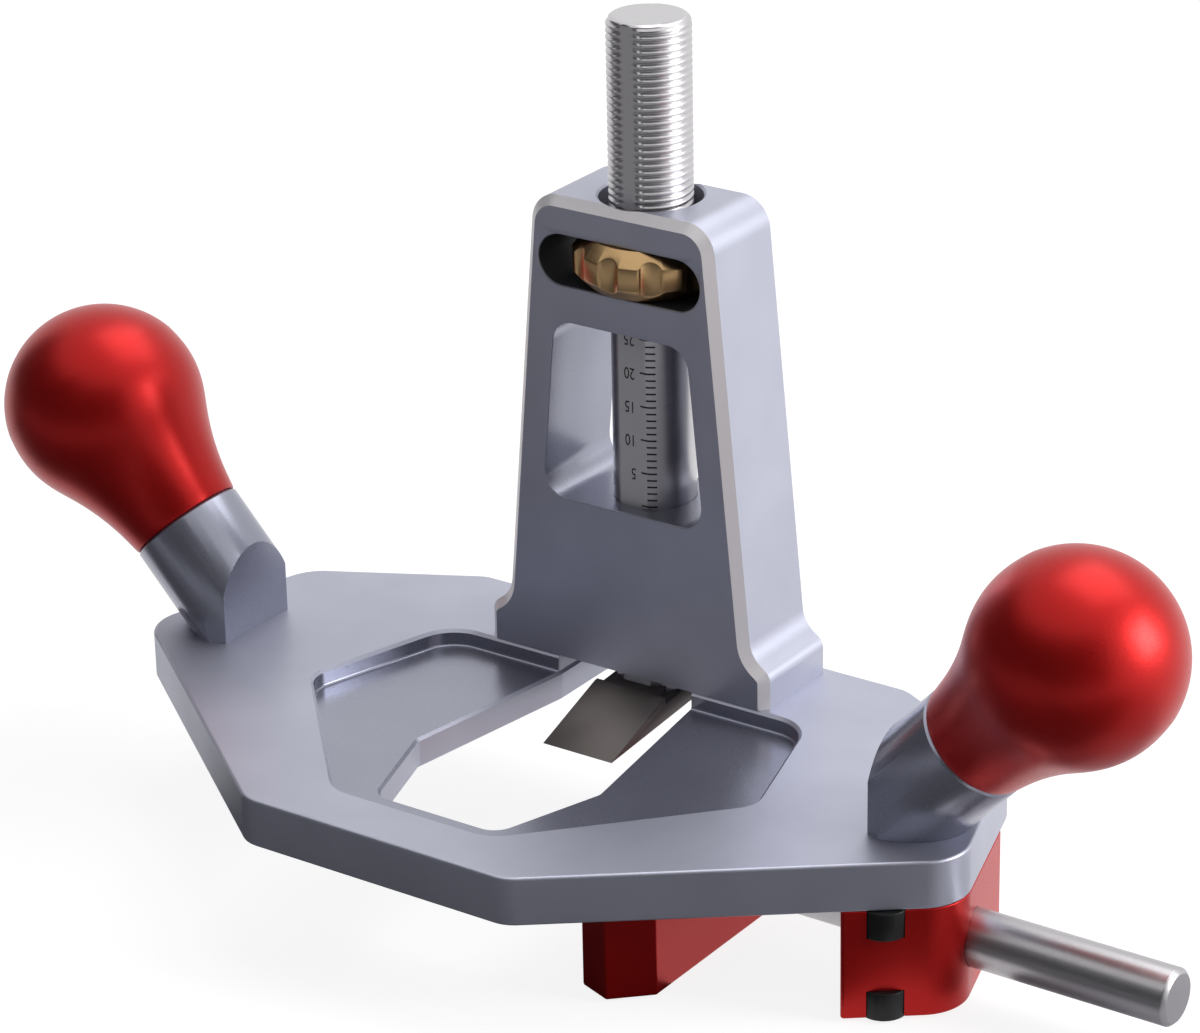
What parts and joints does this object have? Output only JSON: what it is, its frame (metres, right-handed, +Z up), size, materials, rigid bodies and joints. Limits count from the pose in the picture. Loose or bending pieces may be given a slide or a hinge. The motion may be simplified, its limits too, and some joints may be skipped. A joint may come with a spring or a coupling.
{
  "type": "hand router plane",
  "caption": "Hand router plane with an eight-sided sole plate, upright tower, threaded depth post with brass nut, small cutter, leaning ball knobs and a sliding edge fence.",
  "frame": {"origin": "on the sole plane, under the axis of the depth post", "axes": "+X to the right towards the fence, +Y backwards from the cutting edge, +Z up along the depth post"},
  "size_m": [0.1929, 0.0788, 0.1182],
  "materials": {
    "grey_aluminium": "bead-blasted and anodised blue-grey",
    "red_aluminium": "satin anodised red",
    "bright_steel": "turned, bright",
    "ground_steel": "ground tool steel",
    "black_steel": "black oxide",
    "brass": "turned and polished"
  },
  "bodies": {
    "plane_body": {"base_plate": "grey_aluminium", "tower": "grey_aluminium", "tower_screws": "black_steel", "guide_screw": "black_steel", "left_collar": "grey_aluminium", "left_collar_screws": "black_steel", "left_stud": "bright_steel", "left_knob": "red_aluminium", "right_collar": "grey_aluminium", "right_collar_screws": "black_steel", "right_stud": "bright_steel", "right_knob": "red_aluminium", "fence_block": "red_aluminium", "block_screws": "black_steel", "block_bushes": "black_steel", "rod_lock_screw": "black_steel"},
    "nut": {"depth_nut": "brass"},
    "post": {"depth_post": "bright_steel", "blade": "ground_steel", "blade_screw": "black_steel"},
    "lock_pad": {"post_lock_pad": "brass"},
    "lock_screw": {"post_lock_screw": "black_steel"},
    "fence": {"fence_rod": "bright_steel", "fence_bar": "red_aluminium", "bar_screw": "black_steel"}
  },
  "joints": [
    {"name": "nut_turn", "type": "hinge", "parent": "plane_body", "child": "nut", "pos_m": [0, 0, 0.0677], "axis": [0, 0, 1], "range_deg": [-540, 8640]},
    {"name": "post_slide", "type": "slide", "parent": "plane_body", "child": "post", "axis": [0, 0, 1], "range_m": [-0.024, 0.0015]},
    {"name": "lock_pad_slide", "type": "slide", "parent": "plane_body", "child": "lock_pad", "axis": [-1, 0, 0], "range_m": [0, 0.001]},
    {"name": "post_lock_turn", "type": "hinge", "parent": "lock_pad", "child": "lock_screw", "pos_m": [-0.014, 0, 0.0264], "axis": [-1, 0, 0], "range_deg": [0, 360]},
    {"name": "fence_slide", "type": "slide", "parent": "plane_body", "child": "fence", "axis": [1, 0, 0], "range_m": [-0.0145, 0.022]}
  ],
  "couplings": [
    {"joint": "nut_turn", "follows": "post_slide", "rad_per_m": -6283.2},
    {"joint": "post_lock_turn", "follows": "lock_pad_slide", "rad_per_m": 6283.2}
  ]
}
